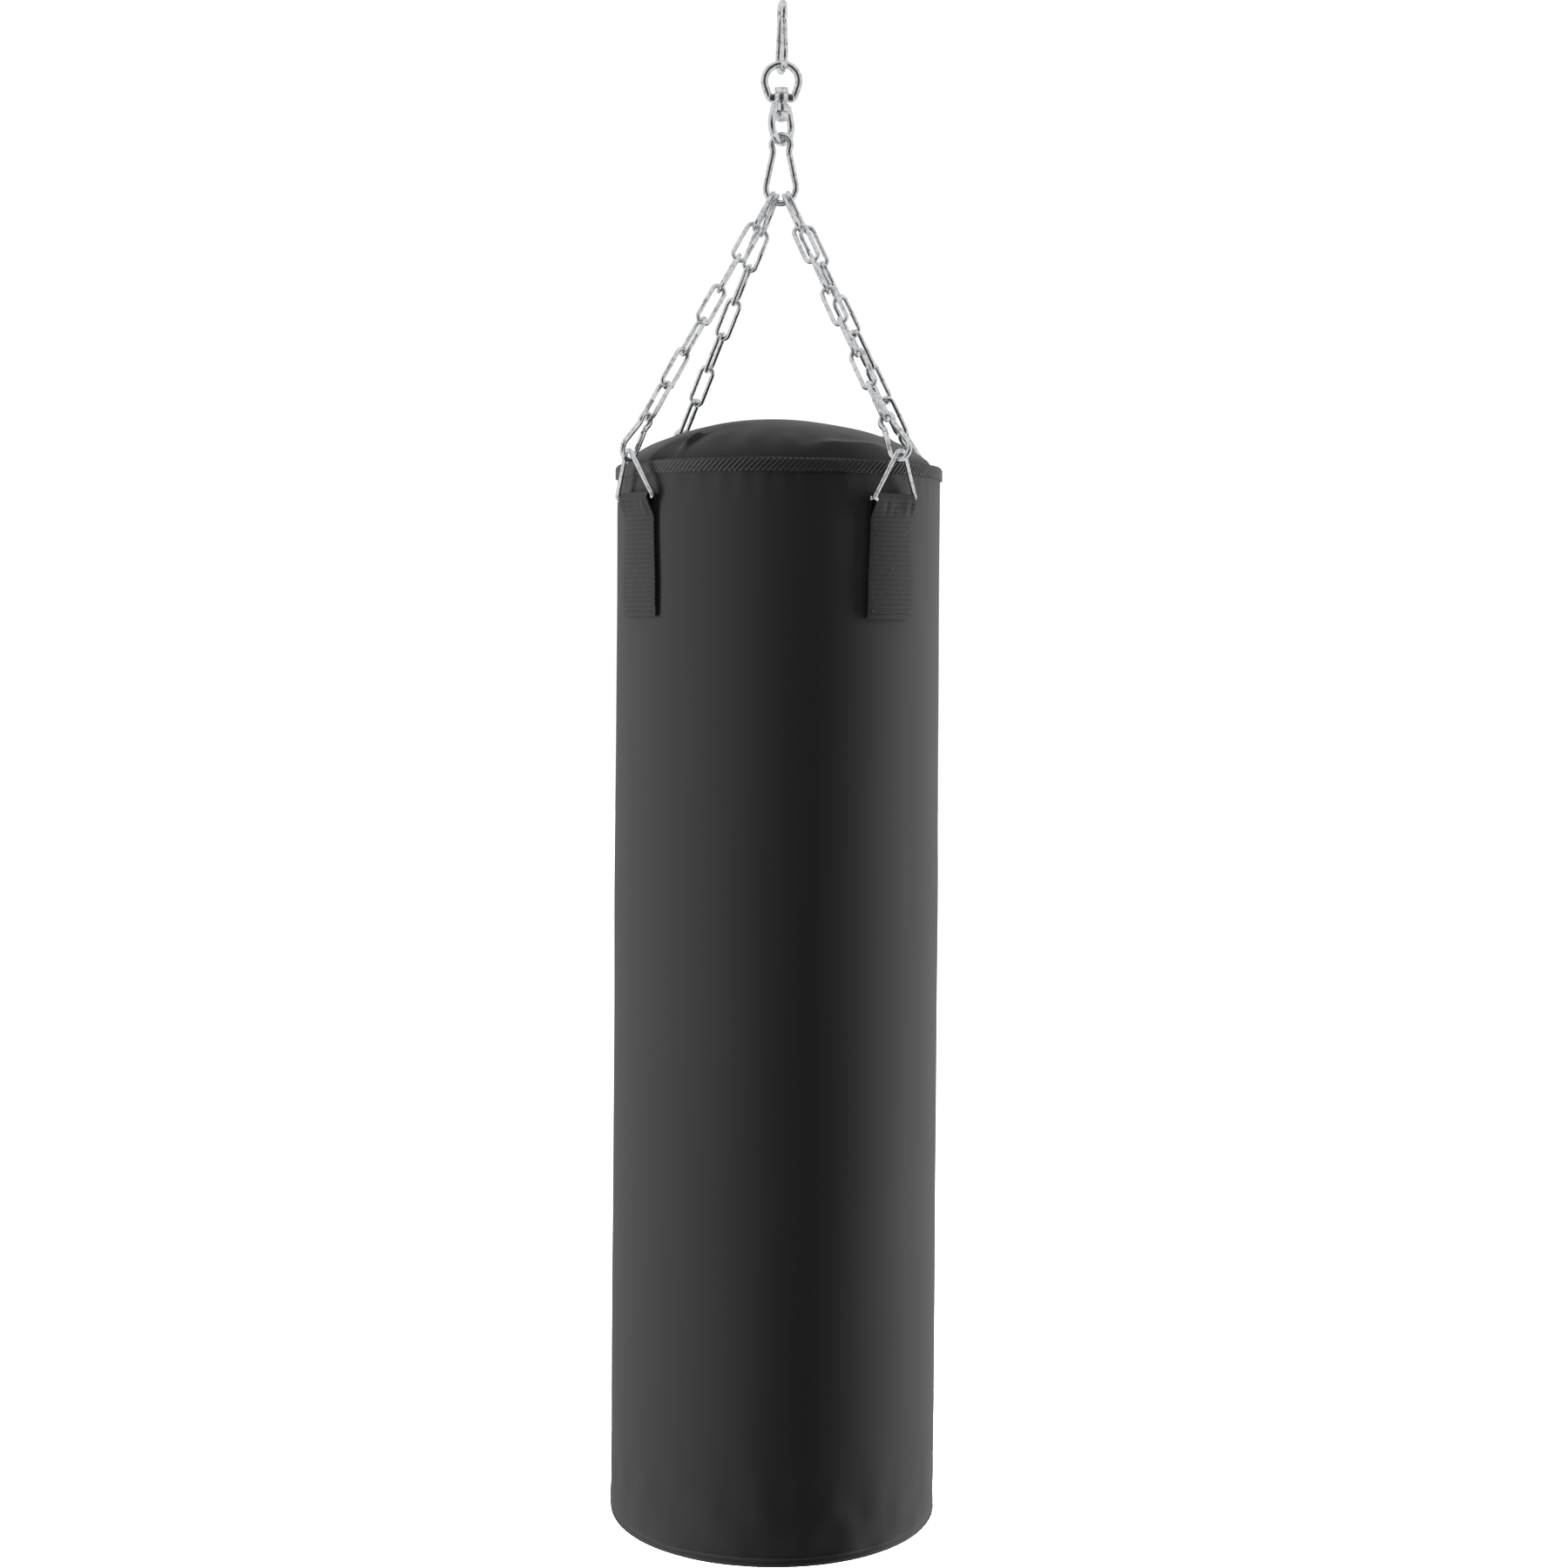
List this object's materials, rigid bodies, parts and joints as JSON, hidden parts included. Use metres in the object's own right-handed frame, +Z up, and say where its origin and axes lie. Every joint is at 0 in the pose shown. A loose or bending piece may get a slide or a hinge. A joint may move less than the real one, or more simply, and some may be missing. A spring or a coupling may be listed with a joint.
{
  "type": "hanging punching bag",
  "caption": "Cylindrical black canvas punching bag with a domed top, webbing straps and wire triangles, hung on chains from a swivel between snap hooks.",
  "frame": {"origin": "the point inside the top of the top snap hook where a ceiling eye bears", "axes": "+Z up along the hanging line, +X to the right and -Y to the front of the bag"},
  "size_m": [0.3162, 0.3162, 1.4513],
  "materials": {
    "plated_steel": "polished",
    "canvas": "matte",
    "webbing": "matte",
    "binding_tape": "matte",
    "textile_filling": "matte"
  },
  "bodies": {
    "top_hook": {"top_hook_body": "plated_steel"},
    "top_gate": {"top_hook_gate": "plated_steel"},
    "swivel_ring": {"swivel_upper_eye": "plated_steel"},
    "swivel_eye": {"swivel_lower_eye": "plated_steel", "swivel_bolt": "plated_steel", "swivel_nut": "plated_steel"},
    "lower_hook": {"lower_hook_body": "plated_steel"},
    "lower_gate": {"lower_hook_gate": "plated_steel"},
    "bag": {"front_left_link_1": "plated_steel", "front_left_link_2": "plated_steel", "front_left_link_3": "plated_steel", "front_left_link_4": "plated_steel", "front_left_link_5": "plated_steel", "front_left_link_6": "plated_steel", "front_left_link_7": "plated_steel", "front_left_hook_body": "plated_steel", "front_left_triangle": "plated_steel", "front_left_strap": "webbing", "back_left_link_1": "plated_steel", "back_left_link_2": "plated_steel", "back_left_link_3": "plated_steel", "back_left_link_4": "plated_steel", "back_left_link_5": "plated_steel", "back_left_link_6": "plated_steel", "back_left_link_7": "plated_steel", "back_left_hook_body": "plated_steel", "back_left_triangle": "plated_steel", "back_left_strap": "webbing", "front_right_link_1": "plated_steel", "front_right_link_2": "plated_steel", "front_right_link_3": "plated_steel", "front_right_link_4": "plated_steel", "front_right_link_5": "plated_steel", "front_right_link_6": "plated_steel", "front_right_link_7": "plated_steel", "front_right_hook_body": "plated_steel", "front_right_triangle": "plated_steel", "front_right_strap": "webbing", "back_right_link_1": "plated_steel", "back_right_link_2": "plated_steel", "back_right_link_3": "plated_steel", "back_right_link_4": "plated_steel", "back_right_link_5": "plated_steel", "back_right_link_6": "plated_steel", "back_right_link_7": "plated_steel", "back_right_hook_body": "plated_steel", "back_right_triangle": "plated_steel", "back_right_strap": "webbing", "bag_shell": "canvas", "top_cover": "canvas", "base_disc": "canvas", "rim_tape": "binding_tape", "base_welt": "binding_tape", "textile_filling": "textile_filling"},
    "front_left_gate": {"front_left_hook_gate": "plated_steel"},
    "back_left_gate": {"back_left_hook_gate": "plated_steel"},
    "front_right_gate": {"front_right_hook_gate": "plated_steel"},
    "back_right_gate": {"back_right_hook_gate": "plated_steel"}
  },
  "joints": [
    {"name": "top_gate_hinge", "type": "hinge", "parent": "top_hook", "child": "top_gate", "pos_m": [0.0027, -0.01269, -0.0379], "axis": [-0.9781, -0.2079, 0], "range_deg": [0, 20], "stiffness_Nm_per_rad": 0.5, "springref_deg": -17.19},
    {"name": "ring_swing", "type": "hinge", "parent": "top_hook", "child": "swivel_ring", "pos_m": [0, 0, -0.061], "axis": [0.2079, -0.9781, 0], "range_deg": [-60, 60]},
    {"name": "swivel_spin", "type": "hinge", "parent": "swivel_ring", "child": "swivel_eye", "pos_m": [0, 0, -0.0959], "axis": [0, 0, 1], "continuous": true},
    {"name": "hook_swing", "type": "hinge", "parent": "swivel_eye", "child": "lower_hook", "pos_m": [0, 0, -0.1279], "axis": [0.5592, 0.829, 0], "range_deg": [-30, 30]},
    {"name": "lower_gate_hinge", "type": "hinge", "parent": "lower_hook", "child": "lower_gate", "pos_m": [0.01277, -0.00225, -0.162], "axis": [-0.1736, -0.9848, 0], "range_deg": [0, 20], "stiffness_Nm_per_rad": 0.5, "springref_deg": -17.19},
    {"name": "bag_swing", "type": "hinge", "parent": "lower_hook", "child": "bag", "pos_m": [0, 0, -0.1819], "axis": [0.9848, -0.1736, 0], "range_deg": [-25, 25]},
    {"name": "front_left_gate_hinge", "type": "hinge", "parent": "bag", "child": "front_left_gate", "pos_m": [-0.12965, -0.08595, -0.42312], "axis": [0.8107, -0.5488, -0.2038], "range_deg": [0, 17], "stiffness_Nm_per_rad": 0.3, "springref_deg": -17.19},
    {"name": "back_left_gate_hinge", "type": "hinge", "parent": "bag", "child": "back_left_gate", "pos_m": [-0.09971, 0.11886, -0.42434], "axis": [-0.5525, -0.8132, -0.1828], "range_deg": [0, 17], "stiffness_Nm_per_rad": 0.3, "springref_deg": -17.19},
    {"name": "front_right_gate_hinge", "type": "hinge", "parent": "bag", "child": "front_right_gate", "pos_m": [0.09971, -0.11886, -0.42434], "axis": [0.5525, 0.8132, -0.1828], "range_deg": [0, 17], "stiffness_Nm_per_rad": 0.3, "springref_deg": -17.19},
    {"name": "back_right_gate_hinge", "type": "hinge", "parent": "bag", "child": "back_right_gate", "pos_m": [0.12965, 0.08595, -0.42312], "axis": [-0.8107, 0.5488, -0.2038], "range_deg": [0, 17], "stiffness_Nm_per_rad": 0.3, "springref_deg": -17.19}
  ]
}
